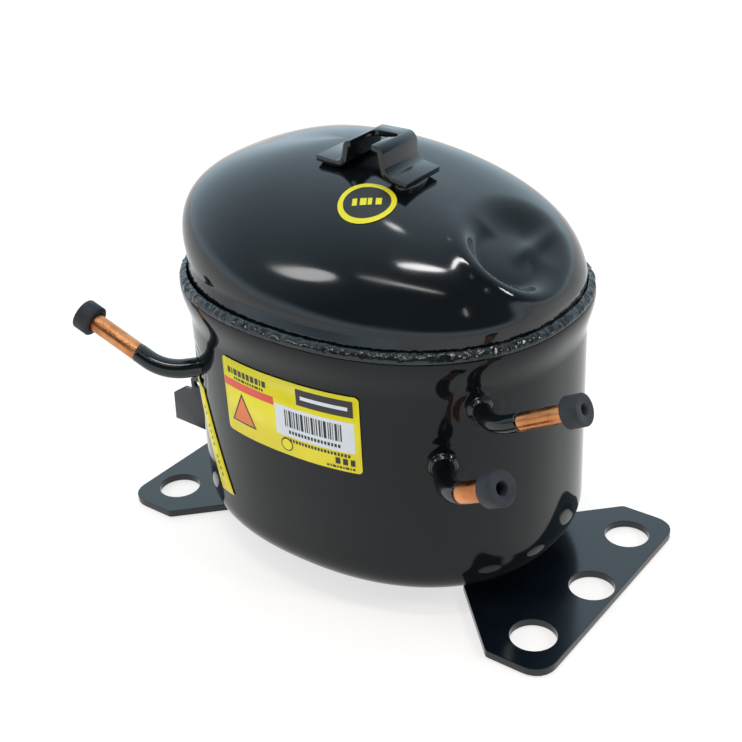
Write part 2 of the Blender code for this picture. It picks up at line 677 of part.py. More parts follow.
def plumbing():
    muffler = block("suction_muffler", (8.0, 24.0, 92.0), (36.0, 41.0, 114.0), MOULDED)
    bevel(muffler, 2.5, 2)
    for low, high in (((30.0, 25.0, 101.0), (58.0, 31.0, 109.0)), ((52.0, 19.9, 102.0), (57.0, 27.0, 108.0))):
        boolean(muffler, cutter("muffler_neck", block_data("muffler_neck", low, high)), "UNION")
    path = [
        (55.0, -20.2, 101.0), (55.0, -31.0, 100.0), (50.0, -41.0, 94.0), (30.0, -50.0, 88.0), (0.0, -52.0, 84.0),
        (-26.0, -50.0, 81.0), (-38.0, -43.0, 79.0), (-42.0, -38.0, 76.5),
    ]
    wire("discharge_loop", bent(path, 5.0, 2), 1.7, TUBE, 1)
    block("lead_connector", (-67.3, -11.0, 31.0), (-59.5, 11.0, 48.0), MOULDED)


lower_shell()
upper_shell()
weld_bead()
foot("foot_left", -1)
foot("foot_right", 1)
lid_bracket()
for stub, sizes in STUBS.items():
    stub_tube(stub, *sizes)
terminal_fence()
terminal_header()
wall_patch("rating_label", [(-28.0, 31.0, 62.0), (-28.0, 31.0, 91.6)], LABEL)
wall_patch("strip_label", STRIP_ROWS, LABEL)
lid_sticker()
motor()
crank()
cylinder_block()
head_stack()
piston_and_rod()
suspension()
plumbing()
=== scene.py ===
import math

import bmesh
import bpy
from mathutils import Matrix, Vector, noise


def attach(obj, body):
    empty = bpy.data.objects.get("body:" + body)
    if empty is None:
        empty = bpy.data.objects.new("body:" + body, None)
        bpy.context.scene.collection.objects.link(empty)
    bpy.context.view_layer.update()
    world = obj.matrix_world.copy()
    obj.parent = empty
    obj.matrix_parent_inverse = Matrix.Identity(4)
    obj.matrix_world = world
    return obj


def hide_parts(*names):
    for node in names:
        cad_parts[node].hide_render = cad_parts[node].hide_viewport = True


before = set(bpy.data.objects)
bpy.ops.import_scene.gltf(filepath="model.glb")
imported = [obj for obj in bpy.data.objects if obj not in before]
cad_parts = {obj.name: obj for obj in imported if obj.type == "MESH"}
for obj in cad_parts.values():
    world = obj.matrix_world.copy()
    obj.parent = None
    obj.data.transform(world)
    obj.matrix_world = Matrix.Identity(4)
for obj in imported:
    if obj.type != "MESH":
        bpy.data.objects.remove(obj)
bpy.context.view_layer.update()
MM = 0.001

# ---------------------------------------------------------------- dimensions, in millimetres
OVAL = 2.25
WALL_A, WALL_B = 75.0, 60.0
BOTTOM_Z, WALL_T = 9.0, 2.8
CORNER_H, CORNER_W, CORNER_POWER = 15.0, 22.0, 2.6
NECK_Z, LIP_Z, MOUTH_Z = 92.0, 104.3, 106.4
LIP_A, LIP_B = 77.5, 62.3
LID_Z, LID_H, LID_SKIRT = 109.0, 44.96, 4.65
LID_A, LID_B, LID_OVAL = 75.5, 57.0, 2.29
LID_CROWN = (-15.0, 2.8)
LID_WALL = 1.8
DISH_CENTRE = (57.5, -1.5, 132.0)
DISH_U, DISH_V, DISH_DEPTH = 20.0, 21.5, 5.2
HEADER_Z = 39.5
FOOT_T, FOOT_TOP = 3.0, 8.7
FOOT_HOLES = ((85.0, 35.0), (85.0, -35.0), (88.8, 0.0))
FOOT_HOLE_R = 8.3
BEAD_INSET = 15.2
FILM_T = 0.12
# For each stub tube: root, elbow and end, its radius, its plug's radius, and the share of it left bare.
STUBS = {
    "discharge": ((-50.5, -44.5, 74.5), (-60.0, -56.3, 75.0), (-93.6, -60.0, 90.0), 3.5, 6.0, 0.42),
    "process": ((64.2, -35.0, 87.0), (73.2, -42.2, 87.0), (101.6, -40.0, 100.9), 3.0, 5.2, 0.42),
    "suction": ((55.2, -44.0, 66.5), (65.0, -56.4, 66.5), (85.6, -59.9, 78.2), 3.7, 5.8, 0.36),
}

# ---------------------------------------------------------------- studio, in metres
# The direction in which the sky is brightest, and the camera's place, the point it faces and its roll.
SKY_SIDE = (-0.62, 0.75, 0.20)
CAMERA_PLACE = (0.258456, -0.336710, 0.300724)
CAMERA_FACES = (-0.012995, 0.006637, 0.059006)
CAMERA_ROLL = -3.18
CAMERA_LENS = 62.45
# For each lamp: the direction it is seen in from the dome, its long side's direction, its size and its watts.
LAMPS = {
    "panel": ((0.15, -0.28, 0.95), (0.32, 0.25, 0.0), (0.42, 0.09), 2.2),
    "strip": ((0.12, -0.60, 0.79), (0.73, 0.24, 0.0), (0.80, 0.035), 0.6),
    "window": ((-0.52, -0.68, 0.52), (0.35, 0.0, 0.22), (0.34, 0.12), 0.85),
    "spot": ((-0.17, 0.08, 0.98), (1.0, 0.0, 0.0), (0.10, 0.06), 0.22),
    "low": ((0.76, -0.46, 0.46), (0.0, 0.0, 1.0), (0.16, 0.03), 0.08),
    "right": ((0.86, 0.10, 0.50), (0.0, 0.0, 1.0), (0.30, 0.16), 2.2),
}


# ---------------------------------------------------------------- materials
def new_material(name):
    made = bpy.data.materials.new(name)
    made.use_nodes = True
    shader = made.node_tree.nodes["Principled BSDF"]
    return made, made.node_tree, shader


def noise_node(tree, scale, detail=3.0, stretch=(1, 1, 1)):
    where = tree.nodes.new("ShaderNodeTexCoord")
    mapping = tree.nodes.new("ShaderNodeMapping")
    mapping.inputs["Scale"].default_value = stretch
    made = tree.nodes.new("ShaderNodeTexNoise")
    made.inputs["Scale"].default_value = scale
    made.inputs["Detail"].default_value = detail
    tree.links.new(where.outputs["Object"], mapping.inputs["Vector"])
    tree.links.new(mapping.outputs["Vector"], made.inputs["Vector"])
    return made


def ramp(tree, source, stops):
    made = tree.nodes.new("ShaderNodeValToRGB")
    for i, (place, colour) in enumerate(stops):
        point = made.color_ramp.elements[i] if i < 2 else made.color_ramp.elements.new(place)
        point.position = place
        point.color = (*colour, 1.0)
    tree.links.new(source, made.inputs["Fac"])
    return made.outputs["Color"]


def spread(tree, source, low, high):
    made = tree.nodes.new("ShaderNodeMapRange")
    made.inputs["To Min"].default_value = low
    made.inputs["To Max"].default_value = high
    made.inputs["From Min"].default_value = 0.3
    made.inputs["From Max"].default_value = 0.7
    tree.links.new(source, made.inputs["Value"])
    return made.outputs["Result"]


def bump(tree, shader, source, strength, distance):
    made = tree.nodes.new("ShaderNodeBump")
    made.inputs["Strength"].default_value = strength
    made.inputs["Distance"].default_value = distance
    tree.links.new(source, made.inputs["Height"])
    tree.links.new(made.outputs["Normal"], shader.inputs["Normal"])


def finish(name, dark, light, rough, metallic=0.0, scale=60.0, grain=0.15, relief=0.0001,
           grain_scale=700.0, stretch=(1, 1, 1), specular=0.5):
    """Two close tones in a cloudy noise, roughness between two values, and a fine relief."""
    made, tree, shader = new_material(name)
    cloud = noise_node(tree, scale, 4.0, stretch)
    tone = ramp(tree, cloud.outputs["Fac"], [(0.35, dark), (0.7, light)])
    tree.links.new(tone, shader.inputs["Base Color"])
    patch = noise_node(tree, scale * 1.7, 3.0, stretch)
    tree.links.new(spread(tree, patch.outputs["Fac"], *rough), shader.inputs["Roughness"])
    shader.inputs["Metallic"].default_value = metallic
    shader.inputs["Specular IOR Level"].default_value = specular
    fine = noise_node(tree, grain_scale, 2.0, stretch)
    bump(tree, shader, fine.outputs["Fac"], grain, relief)
    return made


PAINT = finish("gloss_paint", (0.0035, 0.0048, 0.0062), (0.006, 0.008, 0.0095), (0.06, 0.13),
               scale=22.0, grain=0.05, relief=0.00004, grain_scale=260.0)
WALL_PAINT = finish("wall_paint", (0.0035, 0.0048, 0.0062), (0.006, 0.008, 0.0095), (0.05, 0.1),
                    scale=22.0, grain=0.05, relief=0.00004, grain_scale=260.0, specular=0.26)
FOOT_PAINT = finish("foot_paint", (0.003, 0.005, 0.009), (0.006, 0.009, 0.014), (0.12, 0.2),
                    scale=30.0, grain=0.06, relief=0.00004, grain_scale=400.0)
DULL_PAINT = finish("dull_paint", (0.006, 0.008, 0.010), (0.012, 0.014, 0.017), (0.3, 0.42),
                    scale=40.0, grain=0.1)
WELD = finish("weld_paint", (0.004, 0.006, 0.007), (0.014, 0.017, 0.017), (0.06, 0.22),
              scale=260.0, grain=0.5, relief=0.0002, grain_scale=900.0)
COPPER = finish("copper", (0.42, 0.14, 0.05), (0.80, 0.36, 0.15), (0.22, 0.42), 1.0, scale=90.0, grain=0.12,
                relief=0.00005, grain_scale=1500.0)
RUBBER = finish("rubber", (0.014, 0.016, 0.020), (0.025, 0.028, 0.033), (0.6, 0.8), scale=160.0, grain=0.25,
                relief=0.0001, grain_scale=1800.0)
YELLOW = finish("label_yellow", (0.84, 0.70, 0.0), (0.92, 0.78, 0.01), (0.3, 0.4), scale=50.0, grain=0.03,
                relief=0.00003)
INK = finish("label_ink", (0.010, 0.010, 0.008), (0.018, 0.017, 0.014), (0.35, 0.45), grain=0.03)
RED = finish("label_red", (0.72, 0.06, 0.03), (0.80, 0.085, 0.045), (0.35, 0.45), grain=0.03)
ORANGE = finish("label_orange", (0.80, 0.17, 0.04), (0.88, 0.22, 0.06), (0.35, 0.45), grain=0.03)
WHITE = finish("label_white", (0.72, 0.73, 0.76), (0.80, 0.80, 0.83), (0.35, 0.45), grain=0.03)
BRIGHT = finish("bright_steel", (0.36, 0.37, 0.39), (0.52, 0.53, 0.55), (0.2, 0.38), 1.0, scale=120.0)
CAST = finish("cast_iron", (0.10, 0.10, 0.105), (0.21, 0.21, 0.22), (0.45, 0.65), 0.7, scale=180.0, grain=0.5)
LAMINATION = finish("lamination", (0.16, 0.17, 0.19), (0.34, 0.35, 0.37), (0.35, 0.5), 0.9, scale=30.0,
                    stretch=(1, 1, 60))
WINDING = finish("winding", (0.28, 0.08, 0.02), (0.58, 0.22, 0.08), (0.3, 0.45), 0.4, scale=200.0, grain=0.6,
                 relief=0.0004, grain_scale=500.0)
ALUMINIUM = finish("cast_aluminium", (0.52, 0.53, 0.55), (0.74, 0.75, 0.77), (0.35, 0.5), 1.0,
                   scale=150.0, grain=0.3)
GASKET = finish("gasket", (0.06, 0.10, 0.09), (0.12, 0.18, 0.16), (0.75, 0.9), scale=300.0)
MOULDED = finish("moulded", (0.62, 0.60, 0.53), (0.76, 0.74, 0.67), (0.45, 0.6), scale=120.0)


# ---------------------------------------------------------------- mesh helpers
def power(value, exponent):
    return math.copysign(abs(value) ** exponent, value)


def smooth_share(value, low, high):
    t = min(1.0, max(0.0, (value - low) / (high - low)))
    return t * t * (3 - 2 * t)


def oval_y(half_a, half_b, x):
    return half_b * max(0.0, 1 - (abs(x) / half_a) ** OVAL) ** (1 / OVAL)


def oval_x(half_a, half_b, y):
    return half_a * max(0.0, 1 - (abs(y) / half_b) ** OVAL) ** (1 / OVAL)


def wall_normal(x, y):
    return Vector((
        power(x / WALL_A, OVAL - 1) / WALL_A,
        power(y / WALL_B, OVAL - 1) / WALL_B,
        0.0,
    )).normalized()


def piece(name, data, look, body="shell", smooth=True, stands_for=()):
    obj = bpy.data.objects.new(name, data)
    bpy.context.scene.collection.objects.link(obj)
    looks = look if isinstance(look, (list, tuple)) else [look]
    for each in looks:
        obj.data.materials.append(each)
    if smooth:
        for face in obj.data.polygons:
            face.use_smooth = True
    if stands_for:
        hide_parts(*stands_for)
    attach(obj, body)
    return obj


def mesh_of(name, points, faces):
    data = bpy.data.meshes.new(name)
    data.from_pydata([Vector(p) * MM for p in points], [], faces)
    work = bmesh.new()
    work.from_mesh(data)
    bmesh.ops.recalc_face_normals(work, faces=work.faces)
    work.to_mesh(data)
    work.free()
    return data


def loft(name, rings, caps=True):
    count = len(rings[0])
    points = [p for ring in rings for p in ring]
    faces = []
    for level in range(len(rings) - 1):
        low, high = level * count, (level + 1) * count
        for i in range(count):
            j = (i + 1) % count
            faces.append((low + i, low + j, high + j, high + i))
    if caps:
        last = (len(rings) - 1) * count
        faces.append(tuple(range(count - 1, -1, -1)))
        faces.append(tuple(range(last, last + count)))
    return mesh_of(name, points, faces)


def belt(name, rings):
    return loft(name, rings + [rings[0]], caps=False)


def circle_points(centre, side, other, steps):
    """Points round centre, at side and other a quarter turn apart."""
    angles = [2 * math.pi * i / steps for i in range(steps)]
    return [centre + side * math.cos(angle) + other * math.sin(angle) for angle in angles]


def turned_rings(start, axis, profile, steps=48):
    along = Vector(axis).normalized()
    side = along.orthogonal().normalized()
    other = along.cross(side)
    return [
        circle_points(Vector(start) + along * height, side * radius, other * radius, steps)
        for radius, height in profile
    ]


def prism(name, outline, low, high, axis="Z"):
    place = {
        "X": lambda p, h: (h, p[0], p[1]),
        "Y": lambda p, h: (p[0], h, p[1]),
        "Z": lambda p, h: (p[0], p[1], h),
    }[axis]
    return loft(name, [[place(p, low) for p in outline], [place(p, high) for p in outline]])


def temporary(data):
    obj = bpy.data.objects.new(data.name, data)
    bpy.context.scene.collection.objects.link(obj)
    return obj


def combined(data, steps, bevel=0.0, segments=2, angle=35.0):
    """data with the (mesh, operation) steps worked into it, and then its sharp edges bevelled."""
    body = temporary(data)
    tools = []
    for other, operation in steps:
        tool = temporary(other)
        tools.append(tool)
        step = body.modifiers.new("Step", "BOOLEAN")
        step.operation = operation
        step.solver = "EXACT"
        step.object = tool
    if bevel:
        edge = body.modifiers.new("Edges", "BEVEL")
        edge.width = bevel * MM
        edge.segments = segments
        edge.limit_method = "ANGLE"
        edge.angle_limit = math.radians(angle)
    bpy.context.view_layer.update()
    graph = bpy.context.evaluated_depsgraph_get()
    made = bpy.data.meshes.new_from_object(body.evaluated_get(graph))
    for obj in [body, *tools]:
        bpy.data.objects.remove(obj)
    made.materials.clear()
    return made


def crisp(obj, angle=30.0):
    """Smooth faces that keep an edge where they meet at more than this angle."""
    obj.data.set_sharp_from_angle(angle=math.radians(angle))
    return obj


def smooth_path(points, radius, spacing=0.7):
    """Points along a polyline whose corner is an arc-like bend."""
    points = [Vector(p) for p in points]
    path = [points[0]]
    for before, corner, after in zip(points, points[1:], points[2:]):
        back, on = (before - corner).normalized(), (after - corner).normalized()
        reach = min(
            radius / math.tan(back.angle(on) / 2),
            0.96 * (before - corner).length,
            0.8 * (after - corner).length,
        )
        start, end = corner + back * reach, corner + on * reach
        for i in range(25):
            t = i / 24
            path.append(start * (1 - t) ** 2 + corner * 2 * t * (1 - t) + end * t * t)
    path.append(points[-1])
    even = [path[0]]
    for a, b in zip(path, path[1:]):
        count = max(1, int((b - a).length / spacing))
        even += [a.lerp(b, k / count) for k in range(1, count + 1)]
    return even


def tube_rings(path, radius, steps=32):
    tangent = (path[1] - path[0]).normalized()
    side = tangent.orthogonal().normalized()
    rings = []
    for i, point in enumerate(path):
        ahead = path[min(i + 1, len(path) - 1)] - path[max(i - 1, 0)]
        new_tangent = ahead.normalized()
        side = (side - new_tangent * side.dot(new_tangent)).normalized()
        other = new_tangent.cross(side)
        rings.append(circle_points(point, side * radius, other * radius, steps))
    return rings


# ---------------------------------------------------------------- lower shell
def corner_inset(rise):
    """How far the bottom corner draws in, as a share of its width, at this share of its height."""
    return 1 - (1 - (1 - rise) ** CORNER_POWER) ** (1 / CORNER_POWER)


def ripple(away):
    """Depth of the dimple and ripples that brazing leaves in the wall, this far out from a tube."""
    waves = ((0.5, 1.6, 1.1), (-0.14, 3.8, 0.9), (0.12, 5.8, 0.9), (-0.06, 7.8, 0.9))
    return sum(depth * math.exp(-((away - place) / width) ** 2) for depth, place, width in waves)


def lower_shell():
    count = 420
    corner_top = BOTTOM_Z + CORNER_H
    angles = [2 * math.pi * i / count for i in range(count)]
    rings = []

    def ring(half_a, half_b, height):
        rings.append([
            Vector((half_a * power(math.cos(a), 2 / OVAL), half_b * power(math.sin(a), 2 / OVAL), height))
            for a in angles
        ])

    for i in range(4):
        ring((WALL_A - CORNER_W) * (0.4 + 0.15 * i), (WALL_B - CORNER_W) * (0.4 + 0.15 * i), BOTTOM_Z)
    for i in range(25):
        rise = 1 - math.cos(math.pi / 2 * i / 24)
        inset = CORNER_W * corner_inset(rise)
        ring(WALL_A - inset, WALL_B - inset, BOTTOM_Z + CORNER_H * rise)
    for i in range(1, 85):
        ring(WALL_A, WALL_B, corner_top + (NECK_Z - corner_top) * i / 84)
    for i in range(1, 15):
        share = i / 14
        swell = 0.25 * share + 0.75 * share * share * (3 - 2 * share)
        height = NECK_Z + (LIP_Z - NECK_Z) * share
        ring(WALL_A + (LIP_A - WALL_A) * swell, WALL_B + (LIP_B - WALL_B) * swell, height)
    outside = [point for made in rings for point in made]
    for out, height in (
        (0.0, LIP_Z + 0.4), (0.0, MOUTH_Z - 0.5), (-0.15, MOUTH_Z - 0.15), (-0.5, MOUTH_Z), (-2.4, MOUTH_Z),
        (-2.6, MOUTH_Z - 0.3), (-2.6, 100.0), (-5.0, 98.5),
    ):
        ring(LIP_A + out, LIP_B + out, height)
    ring(WALL_A - WALL_T, WALL_B - WALL_T, 96.0)
    ring(WALL_A - WALL_T, WALL_B - WALL_T, corner_top)
    for i in range(5, -1, -1):
        rise = 1 - math.cos(math.pi / 2 * i / 5)
        inset = WALL_T + (CORNER_W - WALL_T) * corner_inset(rise)
        ring(WALL_A - inset, WALL_B - inset, BOTTOM_Z + WALL_T + (CORNER_H - WALL_T) * rise)
    opening = turned_rings((-90, 0, HEADER_Z), (1, 0, 0), [(13.3, 0), (13.3, 25)], 64)
    steps = [(loft("header_hole", opening), "DIFFERENCE")]
    for root, elbow, _, radius, _, _ in STUBS.values():
        root, axis = Vector(root), (Vector(elbow) - Vector(root)).normalized()
        for point in outside:
            offset = point - root
            if offset.length < 16:
                point -= axis * ripple((offset - axis * offset.dot(axis)).length - radius)
        hole = loft("hole", turned_rings(root, axis, [(radius + 0.1, -9), (radius + 0.1, 6)], 40))
        steps.append((hole, "DIFFERENCE"))
    data = combined(loft("shell_body", rings), steps)
    crisp(piece("shell_body", data, WALL_PAINT, stands_for=["lower_shell"]), 40)


# ---------------------------------------------------------------- lid
def dish(point):
    """The stamped dish in the lid's +X shoulder: a hollow with a crease in front and a tongue inside."""
    normal = Vector((0.56, 0.0, 0.83))
    down = Vector((0.83, 0.0, -0.56))
    offset = point - Vector(DISH_CENTRE)
    u, v = offset.dot(down), offset.y
    away = math.hypot(u / DISH_U, v / DISH_V)
    if away > 1.6:
        return point
    front = max(0.0, math.cos(math.atan2(v, u) + 1.25))
    width = 0.80 - 0.62 * front
    share = min(1.0, max(0.0, (1.02 - away) / width))
    sunk = DISH_DEPTH * share * share * (3 - 2 * share)
    swell = 1.3 * front * math.exp(-((away - 1.12) / 0.13) ** 2)
    ridge = 2.0 * math.exp(-((u - 4.0) / 2.6) ** 2) * smooth_share(v, -8.0, 4.0)
    return point - normal * (sunk - swell - ridge * share)


def lid_point(angle, rise, inset=0.0):
    c, s = math.cos(angle), math.sin(angle)
    ahead, across = c * c, s * s
    wide = ahead * 1.4 + across * 2.37
    tall = ahead * (2.82 if c > 0 else 2.95) + across * 1.49
    out = max(0.0, math.cos(rise)) ** (2 / wide)
    up = math.sin(rise) ** (2 / tall)
    half_a = LID_A - 0.14 * LID_SKIRT - inset
    half_b = LID_B - 0.14 * LID_SKIRT - inset
    return Vector((
        half_a * out * power(c, 2 / LID_OVAL) + LID_CROWN[0] * up,
        half_b * out * power(s, 2 / LID_OVAL) + LID_CROWN[1] * up,
        LID_Z + LID_SKIRT + (LID_H - LID_SKIRT - inset) * up,
    ))


def lid():
    count = 288
    angles = [2 * math.pi * i / count for i in range(count)]
    rings = []

    def skirt(half_a, half_b, exponent, height):
        out = 2 / exponent
        rings.append([
            Vector((half_a * power(math.cos(a), out), half_b * power(math.sin(a), out), height))
            for a in angles
        ])

    for rise in (85.0, 76.0, 66.0, 56.0, 46.0, 36.0, 26.0, 16.0, 6.0):
        rings.append([dish(lid_point(a, math.radians(rise), LID_WALL)) for a in angles])
    skirt(71.1, 56.1, 2.27, 101.5)
    skirt(73.3, 58.3, 2.27, 101.5)
    skirt(73.9, 58.9, 2.27, 102.1)
    skirt(74.2, 58.6, 2.27, 106.0)
    skirt(74.5, 58.2, 2.27, 108.0)
    for i in range(6):
        share = i / 5
        skirt(74.6 + 0.25 * share, 58.0 - 1.65 * share, 2.27 + 0.02 * share, 109.0 + 4.4 * share)
    for i in range(1, 73):
        rise = math.radians(89.6 * i / 72)
        rings.append([dish(lid_point(a, rise)) for a in angles])
    piece("lid_dome", loft("lid_dome", rings), PAINT, stands_for=["upper_shell"])


def bead():
    """The weld between mouth and lid, uneven along its length."""
    count = 720
    profile = (
        (77.25, 106.45, 0.2), (77.35, 107.2, 0.6), (77.0, 108.0, 1.0), (76.4, 108.8, 1.0),
        (75.7, 109.3, 1.0), (75.0, 109.6, 0.7), (74.6, 109.4, 0.3), (74.7, 106.5, 0.0),
    )
    rings = []
    for out, height, rough in profile:
        across = out - BEAD_INSET
        ring = []
        for i in range(count):
            angle = 2 * math.pi * i / count
            base = Vector((
                out * power(math.cos(angle), 2 / OVAL), across * power(math.sin(angle), 2 / OVAL), height,
            ))
            grain = noise.noise(base * 0.8) * 0.7 + noise.noise(base * 1.9 + Vector((9, 4, 2))) * 0.55
            sway = noise.noise(base * 0.23 + Vector((3, 7, 1))) * 0.5
            push = min(0.5, grain + sway) * rough
            outward = Vector((base.x / out, base.y / across, 0.0)).normalized()
            base += outward * push * 0.5 + Vector((0, 0, 1)) * push * 0.8
            ring.append(base)
        rings.append(ring)
    piece("weld_bead_detail", belt("weld_bead_detail", rings), WELD, stands_for=["weld_bead"])


# ---------------------------------------------------------------- stub tubes and plugs
def stub(name, root, elbow, end, radius, plug_radius, bare):
    """A tube painted as far as its bare end, with its braze ring and its rubber transit plug."""
    root, elbow, end = Vector(root), Vector(elbow), Vector(end)
    inward = (root - elbow).normalized()
    axis = (end - elbow).normalized()
    path = smooth_path([root + inward * 6.5, elbow, end], 5.2 * radius)
    lengths = [0.0]
    for a, b in zip(path, path[1:]):
        lengths.append(lengths[-1] + (b - a).length)
    split = lengths[-1] * (1 - bare)
    painted = [p for p, at in zip(path, lengths) if at <= split]
    copper = path[len(painted) - 1:]
    rings = tube_rings(painted, radius + 0.12)
    tail = [p.copy() for p in rings[-1]]
    centre = sum(tail, Vector()) / len(tail)
    rings.append([centre + (p - centre) * 0.965 for p in tail])
    piece(f"{name}_stub_painted", loft(f"{name}_stub_painted", rings), PAINT,
          stands_for=[f"{name}_tube"])
    rings = tube_rings(copper, radius)
    for share, back in ((0.94, 0.0), (0.74, 0.2), (0.74, 9.0)):
        rings.append([end + (p - end) * share - axis * back for p in rings[len(copper) - 1]])
    piece(f"{name}_stub_bare", loft(f"{name}_stub_bare", rings), COPPER)
    bore = radius * 0.7
    profile = [
        (bore - 0.4, -5.0), (bore - 0.4, 2.2), (bore - 0.1, 2.7), (bore + 0.1, 2.8),
        (plug_radius - 0.45, 2.8), (plug_radius - 0.15, 2.7), (plug_radius, 2.4),
        (plug_radius, -3.1), (plug_radius - 0.3, -3.4), (radius + 0.4, -3.4),
        (radius + 0.15, -3.0), (radius + 0.15, 0.3), (bore, 0.3), (bore, -5.0),
    ]
    rings = turned_rings(end, axis, profile, 64)
    crisp(piece(f"{name}_transit_plug", belt(f"{name}_transit_plug", rings), RUBBER,
                body=f"{name}_plug", stands_for=[f"{name}_plug"]), 50)
    collar = [
        (radius + 0.1, -3.0), (radius + 0.1, 1.3), (radius + 0.35, 1.2), (radius + 0.6, 0.7),
        (radius + 0.9, 0.2), (radius + 1.4, -0.1), (radius + 1.7, -0.6), (radius + 1.7, -3.0),
    ]
    rings = turned_rings(root, (elbow - root), collar, 56)
    piece(f"{name}_braze_ring", belt(f"{name}_braze_ring", rings), PAINT)


# ---------------------------------------------------------------- feet
def foot(name, side):
    """A flat plate with three holes, running on under the shell and stepping up to its bottom."""
    front = [
        (98.5, 43.0), (98.2, 45.0), (97.4, 47.0), (96.0, 48.8), (94.2, 50.0), (92.0, 50.8), (89.5, 51.0),
        (76.2, 51.0), (75.4, 50.8), (74.8, 50.4), (49.5, 25.1),
    ]
    outline = [(side * x, y) for x, y in front] + [(side * x, -y) for x, y in reversed(front)]
    line = [
        (side * 52.0, 0.0), (side * 52.0, FOOT_T), (side * 49.5, FOOT_T), (side * 44.0, FOOT_TOP),
        (side * 30.0, FOOT_TOP), (side * 30.0, FOOT_TOP - FOOT_T), (side * 43.0, FOOT_TOP - FOOT_T),
        (side * 48.0, 0.0),
    ]
    steps = [(prism("step", line, -20.0, 20.0, "Y"), "UNION")]
    for x, y in FOOT_HOLES:
        bore = [(FOOT_HOLE_R, 0), (FOOT_HOLE_R, 15)]
        hole = loft("hole", turned_rings((side * x, y, -5), (0, 0, 1), bore, 72))
        steps.append((hole, "DIFFERENCE"))
    data = combined(prism(name, outline, 0.0, FOOT_T), steps, bevel=0.3)
    plate = crisp(piece(f"{name}_plate", data, FOOT_PAINT, stands_for=[name]), 40)
    even = plate.modifiers.new("Even", "WEIGHTED_NORMAL")
    even.keep_sharp = True


# ---------------------------------------------------------------- lid bracket
def arc(centre, radius, start, stop, steps=6):
    return [
        (centre[0] + radius * math.cos(math.radians(start + (stop - start) * i / steps)),
         centre[1] + radius * math.sin(math.radians(start + (stop - start) * i / steps)))
        for i in range(steps + 1)
    ]


def strip(line, thickness):
    """The outline of a bent strip whose upper face follows line."""
    lower = []
    for i, point in enumerate(line):
        before, after = line[max(i - 1, 0)], line[min(i + 1, len(line) - 1)]
        ahead = (Vector(after) - Vector(before)).normalized()
        lower.append((point[0] + ahead.y * thickness, point[1] - ahead.x * thickness))
    return line + lower[::-1]


def bracket():
    line = [(-11.6, 155.0), (-3.8, 154.3)]
    line += arc((-3.4, 157.1), 2.8, 262, 350, 5)
    line += arc((2.9, 159.5), 2.8, 172, 95, 5)
    line += arc((13.3, 158.9), 3.4, 88, 8, 6)
    line += arc((20.2, 156.0), 3.6, 190, 260, 5)
    line += [(25.6, 151.4)]
    data = combined(
        prism("hat", strip(line, 2.0), -18.3, 1.0, "Y"),
        [(slot_tool(), "DIFFERENCE")],
        bevel=0.3,
    )
    crisp(piece("lid_hat_bracket", data, PAINT, stands_for=["lid_bracket"]), 30)
    for x, top in ((-7.0, 153.2), (21.0, 150.3)):
        low = min(dome_z(x + dx, y) for dx in (-3.0, 3.0) for y in (-16.0, -2.0)) - 0.5
        pad = [(4.2, 0.0), (4.0, top - low - 0.1), (2.0, top - low)]
        rings = turned_rings((x, -9.0, low), (0, 0, 1), pad, 24)
        flat = [[Vector((p.x, -9.0 + (p.y + 9.0) * 1.9, p.z)) for p in ring] for ring in rings]
        piece(f"bracket_weld_{'left' if x < 0 else 'right'}", loft("bracket_weld", flat), WELD)


def slot_tool():
    outline = [(3.2, -25.0), (12.0, -25.0), (12.0, -9.0)]
    outline += arc((12.0, -6.8), 2.0, -60, 90, 6)
    outline += arc((5.2, -6.8), 2.0, 90, 180, 5)
    return prism("slot", outline, 158.4, 170.0)


# ---------------------------------------------------------------- terminal fence
def fence():
    inner, outer = [], []
    for i in range(41):
        y = -25.0 + 1.25 * i
        inner.append((-oval_x(WALL_A + 0.3, WALL_B + 0.3, y), y))
        outer.append((-oval_x(WALL_A + 0.3, WALL_B + 0.3, y) - 1.6, y))
    cheek = [
        (-92.5, 28.5), (-91.8, 41.0), (-85.4, 45.3), (-80.8, 45.6), (-80.8, 50.6), (-78.6, 52.6),
        (-71.6, 52.6), (-71.6, 34.6), (-75.4, 34.6), (-76.0, 28.0),
    ]
    steps = [(prism("cheek", cheek, y, y + 1.6, "Y"), "UNION") for y in (-25.0, 23.4)]
    ear = turned_rings((-77.6, -30, 48.8), (0, 1, 0), [(1.5, 0), (1.5, 60)], 24)
    window = turned_rings((-90, 0, HEADER_Z), (1, 0, 0), [(14, 0), (14, 25)], 64)
    steps += [(loft("ear", ear), "DIFFERENCE"), (loft("window", window), "DIFFERENCE")]
    data = combined(prism("fence", inner + outer[::-1], 38.4, 57.5), steps, bevel=0.25)
    crisp(piece("relay_fence", data, DULL_PAINT, stands_for=["terminal_fence"]), 30)


# ---------------------------------------------------------------- labels
def wall_point(x, z, lift):
    y = -oval_y(WALL_A, WALL_B, x)
    return Vector((x, y, z)) + wall_normal(x, y) * lift


